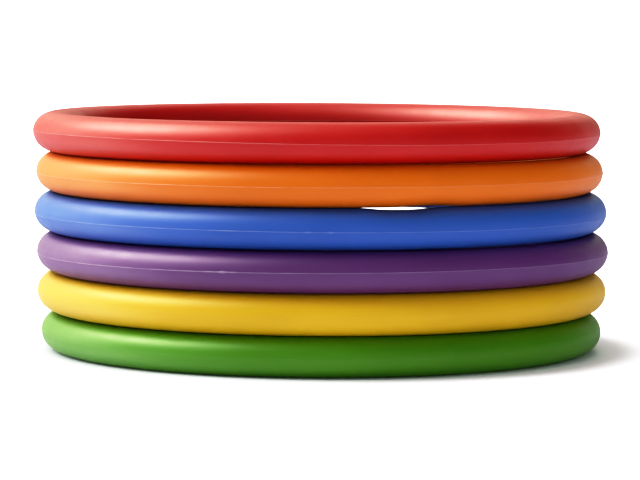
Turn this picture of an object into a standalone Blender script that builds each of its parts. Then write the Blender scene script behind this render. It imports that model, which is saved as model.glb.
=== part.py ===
"""Stack of loose, hollow toss rings in six colours, one above another.

Every ring is two moulded half shells that meet on a seam round the ring's mid-plane. The lower half
has two lips that stand inside the upper half's walls and locate it for the weld. The section of a ring
is two shallow arcs that meet in a slight corner on the seam, with a narrow flat land at the top and
the bottom where one ring rests on the next. Metres, +Z up, the origin on the floor under the stack.
"""

import math
from collections import namedtuple

import bpy

# Ring section, in metres
SECTION_HEIGHT = 0.0103  # from the lower land to the upper one
SECTION_WIDTH = 0.0115  # across the section on the seam
LAND_WIDTH = 0.0021  # flat band that a neighbouring ring rests on
WALL = 0.0014
SEAM_GAP = 0.0003  # between the two halves, where the weld is
STACK_GAP = 0.0003  # between one ring and the next

# Locating lips of the lower half
LIP_HEIGHT = 0.0012  # above the seam
LIP_THICKNESS = 0.0007
LIP_CLEARANCE = 0.0002  # to the upper half's wall

# How finely the turned shapes are cut
TURN_STEPS = 44
OUTER_ARC_POINTS = 4  # on each side of the land
INNER_ARC_POINTS = 4  # over the whole inside of the half without lips
LIPPED_ARC_POINTS = 3  # between the two lips

Ring = namedtuple("Ring", "name outer_radius x y colour")

# From the floor up. The rings differ a little in size and lie a little off centre, as hand-stacked.
RINGS = (
    Ring("green", 0.0748, 0.0003, -0.0002, (0.050, 0.270, 0.020)),
    Ring("yellow", 0.0760, 0.0004, 0.0003, (0.800, 0.480, 0.010)),
    Ring("purple", 0.0763, 0.0006, -0.0003, (0.115, 0.030, 0.160)),
    Ring("blue", 0.0764, 0.0000, 0.0003, (0.020, 0.085, 0.440)),
    Ring("orange", 0.0756, -0.0003, -0.0004, (0.860, 0.180, 0.010)),
    Ring("red", 0.0757, -0.0011, 0.0002, (0.600, 0.014, 0.022)),
)

# Worked out from the driving dimensions
HALF_HEIGHT = SECTION_HEIGHT / 2
HALF_WIDTH = SECTION_WIDTH / 2
HALF_LAND = LAND_WIDTH / 2
STACK_PITCH = SECTION_HEIGHT + STACK_GAP
# Each half's outer arc passes through the seam's edge and the land's edge, and its centre lies on the
# section's own axis, this far on the other side of the seam.
ARC_DROP = (HALF_WIDTH**2 - HALF_LAND**2 - HALF_HEIGHT**2) / (2 * HALF_HEIGHT)
OUTER_ARC_RADIUS = math.hypot(HALF_WIDTH, ARC_DROP)
INNER_ARC_RADIUS = OUTER_ARC_RADIUS - WALL


def arc_point(radius, angle):
    """Point of an arc about the half's centre, as (out from the section's axis, up from the seam)."""
    return radius * math.cos(angle), radius * math.sin(angle) - ARC_DROP


def angle_at_height(radius, height):
    return math.asin((height + ARC_DROP) / radius)


def angles_between(first, last, count):
    return [first + (last - first) * i / (count - 1) for i in range(count)]


def outer_side():
    """One side of the outer surface, from the land's edge down to the seam."""
    land = math.acos(HALF_LAND / OUTER_ARC_RADIUS)
    seam = angle_at_height(OUTER_ARC_RADIUS, SEAM_GAP / 2)
    return [arc_point(OUTER_ARC_RADIUS, a) for a in angles_between(land, seam, OUTER_ARC_POINTS)]


def inner_surface(start, count):
    """The inner surface from an angle on one side, over the crown, to the same angle on the other."""
    return [arc_point(INNER_ARC_RADIUS, a) for a in angles_between(start, math.pi - start, count)]


def mirrored(points):
    return [(-x, z) for x, z in reversed(points)]


def plain_half():
    """Section of a half with no lips, clockwise, with the seam at the bottom."""
    side = outer_side()
    foot = [arc_point(INNER_ARC_RADIUS, angle_at_height(INNER_ARC_RADIUS, SEAM_GAP / 2))]
    above_lips = angle_at_height(INNER_ARC_RADIUS, LIP_HEIGHT + LIP_CLEARANCE)
    inside = inner_surface(above_lips, INNER_ARC_POINTS)
    return side + foot + inside + mirrored(foot) + mirrored(side)


def lipped_half():
    """Section of a half with a locating lip on each wall. The lips reach past the seam."""
    side = outer_side()
    lip_tip_angle = angle_at_height(INNER_ARC_RADIUS, LIP_HEIGHT)
    lip_face = arc_point(INNER_ARC_RADIUS, lip_tip_angle)[0] - LIP_CLEARANCE
    lip_back = lip_face - LIP_THICKNESS
    lip = [(lip_face, SEAM_GAP / 2), (lip_face, -LIP_HEIGHT), (lip_back, -LIP_HEIGHT)]
    inside = inner_surface(math.acos(lip_back / INNER_ARC_RADIUS), LIPPED_ARC_POINTS)
    return side + lip + inside + mirrored(lip) + mirrored(side)


def turned(name, section, ring_radius):
    """The section turned about the ring's axis. The section's own axis is at ring_radius."""
    points = [(ring_radius + x, 0, z) for x, z in section]
    edges = [(i, (i + 1) % len(points)) for i in range(len(points))]
    mesh = bpy.data.meshes.new(name)
    mesh.from_pydata(points, edges, [])
    shell = bpy.data.objects.new(name, mesh)
    screw = shell.modifiers.new("turn", "SCREW")
    screw.axis = "Z"
    screw.angle = math.tau
    screw.steps = TURN_STEPS
    screw.render_steps = TURN_STEPS
    screw.use_merge_vertices = True
    screw.merge_threshold = 0.00001
    screw.use_smooth_shade = False
    return shell


def plastic(name, colour):
    material = bpy.data.materials.new(name)
    material.use_nodes = True
    shader = material.node_tree.nodes["Principled BSDF"]
    shader.inputs["Base Color"].default_value = (*colour, 1.0)
    shader.inputs["Roughness"].default_value = 0.38
    shader.inputs["Metallic"].default_value = 0.0
    material.diffuse_color = (*colour, 1.0)
    return material


def make_ring(ring, level, collection):
    """A ring's two halves, parented to an empty at the ring's centre on its lifting axis."""
    axis = bpy.data.objects.new(f"{ring.name}_ring_axis", None)
    axis.location = (ring.x, ring.y, HALF_HEIGHT + level * STACK_PITCH)
    collection.objects.link(axis)
    ring_radius = ring.outer_radius - HALF_WIDTH
    upside_down = [(x, -z) for x, z in reversed(lipped_half())]
    material = plastic(f"{ring.name}_plastic", ring.colour)
    for half, section in (("upper", plain_half()), ("lower", upside_down)):
        shell = turned(f"{ring.name}_ring_{half}_shell", section, ring_radius)
        shell.data.materials.append(material)
        shell.parent = axis
        collection.objects.link(shell)


def clear_scene():
    for old in list(bpy.data.objects):
        bpy.data.objects.remove(old)


def main():
    clear_scene()
    collection = bpy.data.collections.new("toss_ring_stack")
    bpy.context.scene.collection.children.link(collection)
    for level, ring in enumerate(RINGS):
        make_ring(ring, level, collection)


main()
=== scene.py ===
"""Looks of the toss ring stack: fine shells, weld lines, moulded plastic, floor, lights and camera.

Each CAD half shell is replaced by a finer one of the same size in the same place. The two halves of a
ring meet on a seam, which wanders a little up and down round the ring, and a thin weld line stands
proud of it. Metres, +Z up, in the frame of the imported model. Angles round a ring start at its front,
which is towards -Y, and go towards +X.
"""

import math
from collections import namedtuple

import bpy
import numpy as np
from mathutils import Euler, Matrix, Vector


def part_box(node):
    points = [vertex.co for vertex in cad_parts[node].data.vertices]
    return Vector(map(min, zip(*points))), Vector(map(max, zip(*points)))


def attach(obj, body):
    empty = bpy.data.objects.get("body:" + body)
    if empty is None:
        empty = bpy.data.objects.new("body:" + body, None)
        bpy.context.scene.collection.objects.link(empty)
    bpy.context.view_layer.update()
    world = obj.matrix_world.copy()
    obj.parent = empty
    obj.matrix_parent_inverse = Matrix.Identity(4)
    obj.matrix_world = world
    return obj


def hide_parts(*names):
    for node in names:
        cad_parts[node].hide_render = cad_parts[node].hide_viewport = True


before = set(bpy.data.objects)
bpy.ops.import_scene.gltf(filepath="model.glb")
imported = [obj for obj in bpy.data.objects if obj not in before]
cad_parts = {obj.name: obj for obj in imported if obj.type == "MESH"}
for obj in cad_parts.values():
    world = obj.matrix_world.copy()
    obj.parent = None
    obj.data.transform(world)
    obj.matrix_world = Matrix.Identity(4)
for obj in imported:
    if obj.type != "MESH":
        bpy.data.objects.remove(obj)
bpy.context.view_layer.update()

# Ring section, in metres, as in the CAD model
HALF_WIDTH = 0.00575
WALL = 0.0014
LIP_HEIGHT = 0.0012  # of the lower half's locating lips, above the seam
LIP_THICKNESS = 0.0007
LIP_CLEARANCE = 0.0002
SEAM_HALF_GAP = 0.00003  # the weld line fills it
CONTACT_GAP = 0.00002  # left between rings that rest on each other

# The outline of a ring's outer side is two Bezier curves, from the widest point up and down to the crowns.
# Their handles are shares of the half height and the half width. The lower half is the fuller one.
HalfShape = namedtuple("HalfShape", "side_handle crown_handle")
UPPER_SHAPE = HalfShape(0.61, 0.48)
LOWER_SHAPE = HalfShape(0.75, 0.32)
WIDEST_ABOVE_MIDDLE = 0.0002
CREASE_REACH = 0.0025  # from the seam, over which the surface falls away from it

# Waves that run round a ring: how many of each there are, how large they are together, and what is
# added to the ring's seed, so that one kind doesn't follow another.
Wander = namedtuple("Wander", "orders size seed_step")
WAVE_SHARES = (0.4, 1.0)  # a wave's height is drawn from this range
SEAM_WANDER = Wander((5, 8, 13), 0.00003, 0)
RADIUS_WANDER = Wander((3, 4, 7, 11), 0.00005, 100)
WELD_RIPPLE = Wander((9, 17, 31, 53, 97), 1.6, 200)  # as a share of the weld line's own height
LEAST_RIPPLE = 0.1

# Weld line. It stands out most at the peak, to the left of the front, and fades away on both sides.
PROUDEST_WELD = 0.00011
WELD_PEAK = math.radians(-22)
WELD_SPREAD = math.radians(42)
WELD_FADED = 0.05  # what is left far from the peak, as a share
FLUSH_THICKNESS = 0.000035  # half the weld line's thickness where it isn't proud
WELD_THICKENING = 0.55  # half thickness gained for each metre it stands proud
BURR_THICKENING = 0.6
WELD_ROOT = (0.5, 0.6)  # how deep it starts, in wall thicknesses, and its thickness there, as a share
WELD_OUTLINE = ((0.0, 1.0), (0.6, 0.8), (1.0, 0.3))  # shares of how proud and how thick it is
WELD_PAINTED_HIGHLIGHT = 0.17  # painted highlight: share by which the weld line's plastic is made paler, so that the seam reads as a bright line

# Resolution
SHELL_STEPS = 288  # round the ring
WELD_STEPS = 720
DENT_STEP = 0.3  # degrees
OUTER_POINTS = 15  # on each side of the crown
INNER_POINTS = 7
OUTLINE_POINTS = 200  # of the Bezier curve that the shell's points are taken from
SHARP_EDGE = math.radians(35)  # shading isn't smoothed over edges sharper than this

# The seam's height round the ring, in metres: at the front, its slope from left to right, how much
# higher it is at the sides than at the front, and its twist. The corner is how far the surface leans in
# from the vertical above and below the seam, in degrees.
Seam = namedtuple("Seam", "rise slope bow twist corner")
# A burr is a short thickening of the weld line: where it is and how long, in degrees, and how far it
# stands out, in metres.
Burr = namedtuple("Burr", "angle length height")
# A dent is where a ring is a little flatter than it should be, so that a gap opens to its neighbour.
# The blunter it is, the more abruptly it ends. Its angle and length are in degrees.
Dent = namedtuple("Dent", "angle length depth bluntness")
RingLook = namedtuple("RingLook", "name colour gloss seam weld_height burrs seed")

# From the floor up
RINGS = (
    RingLook("green", (0.086, 0.275, 0.006), 0.76,
             Seam(0.0, 0.0, 0.0, 0.0, 1.0), 0.00001,
             (Burr(-0.6, 4.5, 0.00006),), 11),
    RingLook("yellow", (0.670, 0.430, 0.020), 0.48,
             Seam(0.0, 0.0, 0.0, 0.0, 1.0), 0.00001,
             (Burr(-8.0, 4.0, 0.00007),), 12),
    RingLook("purple", (0.144, 0.046, 0.185), 0.80,
             Seam(0.00022, 0.00012, -0.00045, 0.00012, 7.0), PROUDEST_WELD,
             (Burr(-18.8, 1.3, 0.00040), Burr(-16.8, 1.6, 0.00018), Burr(-22.0, 3.0, 0.00012)), 13),
    RingLook("blue", (0.049, 0.138, 0.432), 0.50,
             Seam(-0.00038, -0.00006, -0.00030, -0.00010, 6.0), 0.00009,
             (Burr(-2.4, 1.2, 0.00024), Burr(1.9, 0.9, 0.00020), Burr(-17.0, 3.5, 0.00012)), 14),
    RingLook("orange", (0.680, 0.184, 0.001), 0.66,
             Seam(-0.00002, 0.00007, -0.00010, 0.0, 6.0), 0.00009,
             (Burr(-31.0, 2.0, 0.00004),), 15),
    RingLook("red", (0.480, 0.009, 0.008), 0.76,
             Seam(-0.00008, -0.00012, 0.00018, -0.00032, 7.0), 0.00009,
             (Burr(-24.0, 6.0, 0.00004), Burr(-12.0, 3.0, 0.00004)), 16),
)

# Light shows through between orange and blue at the front and between blue and purple at the back.
TOP_DENTS = {"blue": (Dent(16.2, 17.0, 0.00052, 3),)}
BOTTOM_DENTS = {
    "orange": (Dent(22.5, 17.0, 0.00034, 2),),
    "blue": (Dent(160.9, 24.0, 0.00180, 8),),
}


def ring_place(name):
    """Centre of the ring on the floor plan, outer radius, lowest and highest level, from the CAD."""
    low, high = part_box(f"{name}_ring_lower_shell")
    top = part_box(f"{name}_ring_upper_shell")[1].z
    centre = (low + high) / 2
    return Vector((centre.x, centre.y)), (high.x - low.x) / 2, low.z, top


def contact_levels(level):
    """Where a ring's lower and upper crown end, halfway into the CAD's gap to each neighbour."""
    bottom, top = ring_place(RINGS[level].name)[2:]
    if level > 0:
        bottom = (bottom + ring_place(RINGS[level - 1].name)[3] + CONTACT_GAP) / 2
    if level < len(RINGS) - 1:
        top = (top + ring_place(RINGS[level + 1].name)[2] - CONTACT_GAP) / 2
    return bottom, top


def angle_apart(angles, middle):
    """How far each angle is from the middle, the short way round."""
    return np.angle(np.exp(1j * (angles - middle)))


def dent_depth(dents, angles):
    depth = np.zeros_like(angles)
    for dent in dents:
        apart = np.abs(angle_apart(angles, math.radians(dent.angle)))
        share = np.clip(apart / math.radians(dent.length / 2), 0.0, 1.0)
        depth += dent.depth * (1.0 - share**dent.bluntness) ** 2
    return depth


def shell_angles(dents):
    """Even steps round the ring, and finer ones along its dents."""
    angles = [np.arange(SHELL_STEPS) * math.tau / SHELL_STEPS]
    for dent in dents:
        reach = dent.length / 2
        angles.append(np.radians(np.arange(dent.angle - reach, dent.angle + reach, DENT_STEP)) % math.tau)
    return np.unique(np.round(np.concatenate(angles), 6))  # merges steps that coincide


def bezier_side(shape):
    """Heights and half widths, from 0 to 1, of a half's outer side, from its widest point to the crown."""
    t = np.linspace(0.0, 1.0, OUTLINE_POINTS)
    u = 1.0 - t
    height = 3 * u * u * t * shape.side_handle + 3 * u * t * t + t**3
    width = u**3 + 3 * u * u * t + 3 * u * t * t * shape.crown_handle
    return height, width


def width_share(height):
    """Half width of the ring's section, as a share, at heights from -1 at the lower crown to 1."""
    upper_height, upper_width = bezier_side(UPPER_SHAPE)
    lower_height, lower_width = bezier_side(LOWER_SHAPE)
    heights = np.concatenate([-lower_height[::-1], upper_height[1:]])
    widths = np.concatenate([lower_width[::-1], upper_width[1:]])
    return np.interp(height, heights, widths)


class Section:
    """Section of one ring at every step round it: the crowns' and the seam's heights are arrays."""

    def __init__(self, lower_crown, upper_crown, seam, corner):
        self.crowns = (lower_crown, upper_crown)
        self.seam = seam
        self.fall = math.tan(math.radians(corner))

    def level(self, share):
        """Height of a point that is a share, from -1 to 1, of the way to the crowns."""
        lower, upper = self.crowns
        return WIDEST_ABOVE_MIDDLE + np.where(
            share < 0, -share * (lower - WIDEST_ABOVE_MIDDLE), share * (upper - WIDEST_ABOVE_MIDDLE)
        )

    def share(self, level):
        """The share, from -1 to 1, of the way to the crowns at a height."""
        lower, upper = self.crowns
        offset = level - WIDEST_ABOVE_MIDDLE
        return np.where(
            offset < 0, -offset / (lower - WIDEST_ABOVE_MIDDLE), offset / (upper - WIDEST_ABOVE_MIDDLE)
        )

    def side(self, half_width, inset, start, away, count):
        """One side of a half, from the level start to its crown. away is 1 for the upper half, or -1.

        inset is how far the crown of this surface lies inside the outer one."""
        first = self.share(start)
        points = []
        for turn in np.linspace(0.0, math.pi / 2, count):
            share = first + (away - first) * math.sin(turn)
            level = self.level(share)
            gap = np.abs(level - self.seam)
            crease = self.fall * gap * np.exp(-gap / CREASE_REACH)
            points.append((
                half_width * width_share(share) - crease * width_share(share),
                level - away * inset * math.sin(turn),
            ))
        return points


def over_the_crown(side):
    """A side and its mirror image, from one seam's edge over the crown to the other."""
    return side + [(-x, z) for x, z in reversed(side[:-1])]


def shell_section(section, away, lips):
    """Closed section of one half shell about the ring's section axis. away is 1 for the upper half."""
    edge = section.seam + away * SEAM_HALF_GAP
    inner_width = HALF_WIDTH - WALL
    outer = over_the_crown(section.side(HALF_WIDTH, 0.0, edge, away, OUTER_POINTS))
    if not lips:
        inside = over_the_crown(section.side(inner_width, WALL, edge, away, INNER_POINTS))
        return outer + inside[::-1]
    face = inner_width - LIP_CLEARANCE
    back = face - LIP_THICKNESS
    tip = section.seam - away * LIP_HEIGHT
    lip = [(face, edge), (face, tip), (back, tip)]
    inside = over_the_crown(section.side(back, WALL, edge, away, INNER_POINTS))
    return outer + [(-x, z) for x, z in lip] + inside[::-1] + lip[::-1]


def turned_mesh(name, section, ring_radius, angles):
    """A closed section carried round the ring. Its coordinates may differ from step to step."""
    steps, count = len(angles), len(section)
    out = np.stack([np.broadcast_to(x, steps) for x, _ in section], axis=1) + ring_radius[:, None]
    up = np.stack([np.broadcast_to(z, steps) for _, z in section], axis=1)
    points = np.stack([out * np.sin(angles)[:, None], -out * np.cos(angles)[:, None], up], axis=2)
    i, j = np.meshgrid(np.arange(steps), np.arange(count), indexing="ij")
    ahead, along = (i + 1) % steps, (j + 1) % count
    faces = np.stack([i * count + j, i * count + along, ahead * count + along, ahead * count + j], 2)
    mesh = bpy.data.meshes.new(name)
    mesh.from_pydata(points.reshape(-1, 3).tolist(), [], faces.reshape(-1, 4).tolist())
    return mesh


def face_outwards(mesh):
    """Turns the faces of a closed mesh inside out if they point in."""
    volume = 0.0
    for polygon in mesh.polygons:
        volume += polygon.center.dot(polygon.normal) * polygon.area
    if volume < 0:
        mesh.flip_normals()


def waves(wander, look, angles):
    """A smooth closed wander round the ring: a few sine waves with seeded phases."""
    rng = np.random.default_rng(look.seed + wander.seed_step)
    total = np.zeros_like(angles)
    for order in wander.orders:
        height = rng.uniform(*WAVE_SHARES) / len(wander.orders)
        total += height * np.sin(order * angles + rng.uniform(0, math.tau))
    return wander.size * total


def seam_height(look, angles):
    """Height of the seam above the ring's mid-plane round the ring."""
    seam = look.seam
    bend = seam.slope * np.sin(angles) + seam.bow * (1.0 - np.cos(angles)) + seam.twist * np.sin(2 * angles)
    return seam.rise + bend + waves(SEAM_WANDER, look, angles)


def ring_radius_at(look, outer_radius, angles):
    """Radius of the section's axis round the ring, with the slight waviness of a cooled moulding."""
    sag = waves(RADIUS_WANDER, look, angles)
    return outer_radius - HALF_WIDTH + sag - sag.max()


def weld_profile(look, angles):
    """How far the weld line stands proud, and how thick it is, round the ring."""
    ripple = np.clip(1.0 + waves(WELD_RIPPLE, look, angles), LEAST_RIPPLE, None)
    peak = np.exp(-((angle_apart(angles, WELD_PEAK) / WELD_SPREAD) ** 2))
    proud = look.weld_height * ripple * (WELD_FADED + (1.0 - WELD_FADED) * peak)
    thick = FLUSH_THICKNESS + WELD_THICKENING * proud
    for burr in look.burrs:
        apart = angle_apart(angles, math.radians(burr.angle))
        bump = burr.height * np.exp(-((apart / math.radians(burr.length) * 2) ** 2))
        proud = proud + bump
        thick = thick + BURR_THICKENING * bump
    return proud, thick


def weld_section(side, seam, surface, proud, thick):
    """Closed section of the weld line on the outer side (side 1) or the hole's side (side -1)."""
    depth, root_share = WELD_ROOT
    half = [(surface - depth * WALL, root_share)]
    half += [(surface + out * proud, share) for out, share in WELD_OUTLINE]
    top = [(side * x, seam + share * thick) for x, share in half]
    bottom = [(side * x, seam - share * thick) for x, share in reversed(half)]
    return top + bottom


def add_piece(name, mesh, body, nodes, material):
    face_outwards(mesh)
    mesh.shade_smooth()
    mesh.set_sharp_from_angle(angle=SHARP_EDGE)
    mesh.materials.append(material)
    piece = bpy.data.objects.new(name, mesh)
    bpy.context.scene.collection.objects.link(piece)
    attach(piece, body)
    if nodes:
        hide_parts(*nodes)


def ring_section(level, middle, angles):
    look = RINGS[level]
    bottom, top = contact_levels(level)
    lower_crown = bottom - middle + dent_depth(BOTTOM_DENTS.get(look.name, ()), angles)
    upper_crown = top - middle - dent_depth(TOP_DENTS.get(look.name, ()), angles)
    return Section(lower_crown, upper_crown, seam_height(look, angles), look.seam.corner)


def build_ring(level):
    """One ring: two half shells and the weld line, on its outer side and in its hole."""
    look = RINGS[level]
    centre, outer_radius, bottom, top = ring_place(look.name)
    middle = (bottom + top) / 2
    place = Matrix.Translation((centre.x, centre.y, middle))
    body = f"{look.name}_ring"

    material = moulded_plastic(f"{look.name}_moulded_plastic", look.colour, look.gloss)
    angles = shell_angles(TOP_DENTS.get(look.name, ()) + BOTTOM_DENTS.get(look.name, ()))
    radius = ring_radius_at(look, outer_radius, angles)
    section = ring_section(level, middle, angles)
    for half, away, lips in (("upper", 1, False), ("lower", -1, True)):
        node = f"{look.name}_ring_{half}_shell"
        mesh = turned_mesh(f"{node}_fine", shell_section(section, away, lips), radius, angles)
        mesh.transform(place)
        add_piece(f"{node}_fine", mesh, body, [node], material)

    # Painted highlight: the weld line's plastic is made paler, the more so the prouder the ring's weld, so
    # that the seam reads as a bright line.
    painted_highlight = WELD_PAINTED_HIGHLIGHT * look.weld_height / PROUDEST_WELD
    painted_highlight_colour = [c + painted_highlight * (1.0 - c) for c in look.colour]
    material = moulded_plastic(f"{look.name}_weld_plastic", painted_highlight_colour, look.gloss)
    angles = np.arange(WELD_STEPS) * math.tau / WELD_STEPS
    radius = ring_radius_at(look, outer_radius, angles)
    section = ring_section(level, middle, angles)
    surface = HALF_WIDTH * width_share(section.share(section.seam))
    proud, thick = weld_profile(look, angles)
    for where, side in (("outer", 1), ("inner", -1)):
        name = f"{body}_{where}_weld_line"
        mesh = turned_mesh(name, weld_section(side, section.seam, surface, proud, thick), radius, angles)
        mesh.transform(place)
        add_piece(name, mesh, body, [], material)


# Moulded plastic. Noise scales are per metre; the streaks' noise is in space stretched along the ring.
Grain = namedtuple("Grain", "scale detail roughness")
DRIFT = Grain(22.0, 3.0, 0.5)
SCUFFS = Grain(160.0, 6.0, 0.65)
PEEL = Grain(900.0, 2.0, 0.5)
STREAKS = Grain(1.0, 2.0, 0.5)
STREAK_STRETCH = (12.0, 12.0, 1800.0)
NOISE_SPAN = (0.3, 0.7)  # of the noise's 0 to 1, where nearly all its values are
SCUFF_SPAN = (0.35, 0.75)
DARK_TONE = 0.93  # of the colour, at one end of the drift
LIGHT_TONE = 1.05
LIGHT_TONE_ADDED = 0.003
ROUGHNESS = (0.44, 0.53)
STREAK_ROUGHNESS = 0.015
REFRACTIVE_INDEX = 1.5
PEEL_SHARE = 0.6  # of the bump, and the streaks have the rest
BUMP_STRENGTH = 0.10
BUMP_DEPTH = 0.00005


def moulded_plastic(name, colour, gloss_level):
    """Smooth plastic with a little colour drift, fine streaks along the ring, orange peel and scuffs."""
    material = bpy.data.materials.new(name)
    material.use_nodes = True
    nodes, links = material.node_tree.nodes, material.node_tree.links
    shader = nodes["Principled BSDF"]
    place = nodes.new("ShaderNodeTexCoord").outputs["Object"]

    def noise(grain, vector):
        node = nodes.new("ShaderNodeTexNoise")
        node.inputs["Scale"].default_value = grain.scale
        node.inputs["Detail"].default_value = grain.detail
        node.inputs["Roughness"].default_value = grain.roughness
        links.new(vector, node.inputs["Vector"])
        return node.outputs["Fac"]

    def ramp(value, span, to_low, to_high):
        node = nodes.new("ShaderNodeMapRange")
        node.inputs["From Min"].default_value, node.inputs["From Max"].default_value = span
        node.inputs["To Min"].default_value = to_low
        node.inputs["To Max"].default_value = to_high
        links.new(value, node.inputs["Value"])
        return node.outputs["Result"]

    def math_node(operation, a, b):
        node = nodes.new("ShaderNodeMath")
        node.operation = operation
        for socket, value in zip(node.inputs, (a, b)):
            if isinstance(value, float):
                socket.default_value = value
            else:
                links.new(value, socket)
        return node.outputs["Value"]

    stretched = nodes.new("ShaderNodeVectorMath")
    stretched.operation = "MULTIPLY"
    stretched.inputs[1].default_value = STREAK_STRETCH
    links.new(place, stretched.inputs[0])
    streaks = noise(STREAKS, stretched.outputs["Vector"])

    tone = nodes.new("ShaderNodeMix")
    tone.data_type = "RGBA"
    tone.inputs["A"].default_value = (*[c * DARK_TONE for c in colour], 1.0)
    light = [min(1.0, c * LIGHT_TONE + LIGHT_TONE_ADDED) for c in colour]
    tone.inputs["B"].default_value = (*light, 1.0)
    links.new(ramp(noise(DRIFT, place), NOISE_SPAN, 0.0, 1.0), tone.inputs["Factor"])
    links.new(tone.outputs["Result"], shader.inputs["Base Color"])

    scuffed = ramp(noise(SCUFFS, place), SCUFF_SPAN, *ROUGHNESS)
    streaked = ramp(streaks, NOISE_SPAN, -STREAK_ROUGHNESS, STREAK_ROUGHNESS)
    links.new(math_node("ADD", scuffed, streaked), shader.inputs["Roughness"])
    shader.inputs["IOR"].default_value = REFRACTIVE_INDEX
    shader.inputs["Specular IOR Level"].default_value = gloss_level

    peel = math_node("MULTIPLY", noise(PEEL, place), PEEL_SHARE)
    height = math_node("ADD", peel, math_node("MULTIPLY", streaks, 1.0 - PEEL_SHARE))
    bump = nodes.new("ShaderNodeBump")
    bump.inputs["Strength"].default_value = BUMP_STRENGTH
    bump.inputs["Distance"].default_value = BUMP_DEPTH
    links.new(height, bump.inputs["Height"])
    links.new(bump.outputs["Normal"], shader.inputs["Normal"])
    return material


# Camera, at the photographer's distance and height from the stack
CAMERA_PLACE = (-0.0001, -0.8757, 0.0960)
CAMERA_LENS = 184.4  # mm
CAMERA_SENSOR = 36.0  # mm
CAMERA_DIP = math.radians(4.379)
CAMERA_ROLL = math.radians(0.275)


def make_camera():
    data = bpy.data.cameras.new("camera")
    data.lens = CAMERA_LENS
    data.sensor_width = CAMERA_SENSOR
    camera = bpy.data.objects.new("camera", data)
    level = Euler((math.pi / 2 - CAMERA_DIP, 0.0, 0.0)).to_matrix()
    turned = level @ Matrix.Rotation(CAMERA_ROLL, 3, "Z")
    camera.matrix_world = Matrix.Translation(CAMERA_PLACE) @ turned.to_4x4()
    bpy.context.scene.collection.objects.link(camera)
    bpy.context.scene.camera = camera


# Floor. Its glow is painted light, seen by the camera only. It is faint near the stack and strong beyond a
# band of radii, so the shadow shows close to the stack and is painted out further away. The band's centre
# is off to the side where the shadow falls, so the painted-out shadow reaches further there. The floor
# doesn't block the softbox that stands for light coming up off the paper.
FLOOR_REACH = 200.0  # half its side, so that its edge is beyond every view
FLOOR_COLOUR = (0.90, 0.88, 0.98)  # a little blue, against the warm light that the rings throw on it
FLOOR_ROUGHNESS = 0.6
FLOOR_PAINTED_GLOW_CENTRE = (0.004, 0.0, 0.0)
FLOOR_PAINTED_GLOW_BAND = (0.075, 0.0915)
FLOOR_PAINTED_GLOW = (0.02, 1.5)  # at the band's inner and outer edge


def make_floor():
    corners = [(x * FLOOR_REACH, y * FLOOR_REACH, 0.0) for x, y in ((-1, -1), (1, -1), (1, 1), (-1, 1))]
    mesh = bpy.data.meshes.new("floor")
    mesh.from_pydata(corners, [], [(0, 1, 2, 3)])
    mesh.materials.append(floor_paper_with_painted_glow())
    floor = bpy.data.objects.new("floor", mesh)
    floor.visible_shadow = False
    bpy.context.scene.collection.objects.link(floor)


def floor_paper_with_painted_glow():
    material = bpy.data.materials.new("pale_floor_with_painted_glow")
    material.use_nodes = True
    nodes, links = material.node_tree.nodes, material.node_tree.links
    shader = nodes["Principled BSDF"]
    shader.inputs["Base Color"].default_value = (*FLOOR_COLOUR, 1.0)
    shader.inputs["Emission Color"].default_value = (1.0, 1.0, 1.0, 1.0)
    shader.inputs["Roughness"].default_value = FLOOR_ROUGHNESS

    # Painted light: an emission seen by the camera only, faint inside the band and strong beyond it, which
    # paints the floor white and paints the shadow out away from the stack.
    radius = nodes.new("ShaderNodeVectorMath")
    radius.operation = "DISTANCE"
    radius.inputs[1].default_value = FLOOR_PAINTED_GLOW_CENTRE
    links.new(nodes.new("ShaderNodeTexCoord").outputs["Object"], radius.inputs[0])
    glow = nodes.new("ShaderNodeMapRange")
    glow.interpolation_type = "SMOOTHSTEP"
    glow.inputs["From Min"].default_value, glow.inputs["From Max"].default_value = FLOOR_PAINTED_GLOW_BAND
    glow.inputs["To Min"].default_value, glow.inputs["To Max"].default_value = FLOOR_PAINTED_GLOW
    links.new(radius.outputs["Value"], glow.inputs["Value"])
    seen = nodes.new("ShaderNodeMath")
    seen.operation = "MULTIPLY"
    links.new(glow.outputs["Result"], seen.inputs[0])
    links.new(nodes.new("ShaderNodeLightPath").outputs["Is Camera Ray"], seen.inputs[1])
    links.new(seen.outputs["Value"], shader.inputs["Emission Strength"])
    return material


# The softboxes are what the glossy surfaces mirror, and the lamps are what lights the surfaces. Each has
# the azimuth it comes from (0 from the viewer's side, 90 from the right) and its elevation, in degrees,
# and its strength in W/m2.
Light = namedtuple("Light", "name azimuth elevation strength")
SOFTBOXES = (
    Light("left_softbox", -90, 48, 3.45),
    Light("left_behind_softbox", -120, 48, 3.80),
    Light("low_left_softbox", -112, 8, 1.70),
    Light("left_floor_softbox", -105, -18, 1.60),
    Light("low_behind_softbox", -150, 8, 0.55),
    Light("behind_softbox", 180, 28, 0.70),
    Light("right_behind_softbox", 150, 8, 0.35),
)
LAMPS = (
    Light("key_lamp", -90, 48, 2.15),
    Light("low_key_lamp", -90, 28, 1.26),
    Light("behind_lamp", -150, 8, 1.39),
    Light("overhead_lamp", 0, 90, 0.80),
    Light("front_lamp", 15, 8, 0.85),
    Light("right_lamp", 60, 8, 0.25),
)
SOFTBOX_TINT = (1.0, 0.98, 0.82)
LAMP_TINT = (1.0, 1.0, 1.0)
LIGHT_SPREAD = math.radians(40)
WORLD_STRENGTH = 0.52

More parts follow.
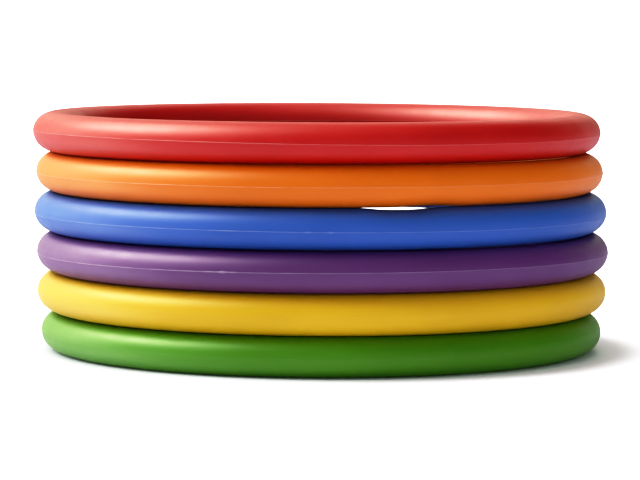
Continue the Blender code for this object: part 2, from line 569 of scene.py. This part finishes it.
# The camera's response, from the light that reaches it to the brightness shown: firm in the shadows,
# with a soft roll-off to white. The last point is the light that is shown as full white.
RESPONSE = ((0.03, 0.005), (0.1, 0.032), (0.3, 0.164), (0.63, 0.5), (0.95, 0.79), (1.2, 0.93), (1.45, 1.0))
FULL_WHITE = RESPONSE[-1][0]


def make_light(spec, mirrored):
    data = bpy.data.lights.new(spec.name, "SUN")
    data.energy = spec.strength
    data.color = SOFTBOX_TINT if mirrored else LAMP_TINT
    data.angle = LIGHT_SPREAD
    light = bpy.data.objects.new(spec.name, data)
    a, e = math.radians(spec.azimuth), math.radians(spec.elevation)
    towards = Vector((math.sin(a) * math.cos(e), -math.cos(a) * math.cos(e), math.sin(e)))
    light.rotation_euler = towards.to_track_quat("Z", "Y").to_euler()
    light.visible_glossy = mirrored
    light.visible_diffuse = not mirrored
    bpy.context.scene.collection.objects.link(light)


def make_lights():
    for spec in SOFTBOXES:
        make_light(spec, mirrored=True)
    for spec in LAMPS:
        make_light(spec, mirrored=False)


def make_world():
    """An even room that lights the surfaces but isn't mirrored in them. The camera sees it as white."""
    world = bpy.data.worlds.new("studio")
    world.use_nodes = True
    nodes, links = world.node_tree.nodes, world.node_tree.links
    background = nodes["Background"]
    background.inputs["Color"].default_value = (1.0, 1.0, 1.0, 1.0)
    path = nodes.new("ShaderNodeLightPath")
    strength = nodes.new("ShaderNodeMapRange")
    strength.inputs["To Min"].default_value = WORLD_STRENGTH
    strength.inputs["To Max"].default_value = FULL_WHITE
    links.new(path.outputs["Is Camera Ray"], strength.inputs["Value"])
    links.new(strength.outputs["Result"], background.inputs["Strength"])
    bpy.context.scene.world = world
    world.cycles_visibility.glossy = False


def set_response():
    view = bpy.context.scene.view_settings
    view.view_transform = "Standard"
    view.use_curve_mapping = True
    view.curve_mapping.white_level = (FULL_WHITE, FULL_WHITE, FULL_WHITE)
    curve = view.curve_mapping.curves[3]
    for light, shown in RESPONSE[:-1]:
        curve.points.new(light / FULL_WHITE, shown)
    view.curve_mapping.update()


for ring_level in range(len(RINGS)):
    build_ring(ring_level)
make_camera()
make_floor()
make_lights()
make_world()
set_response()
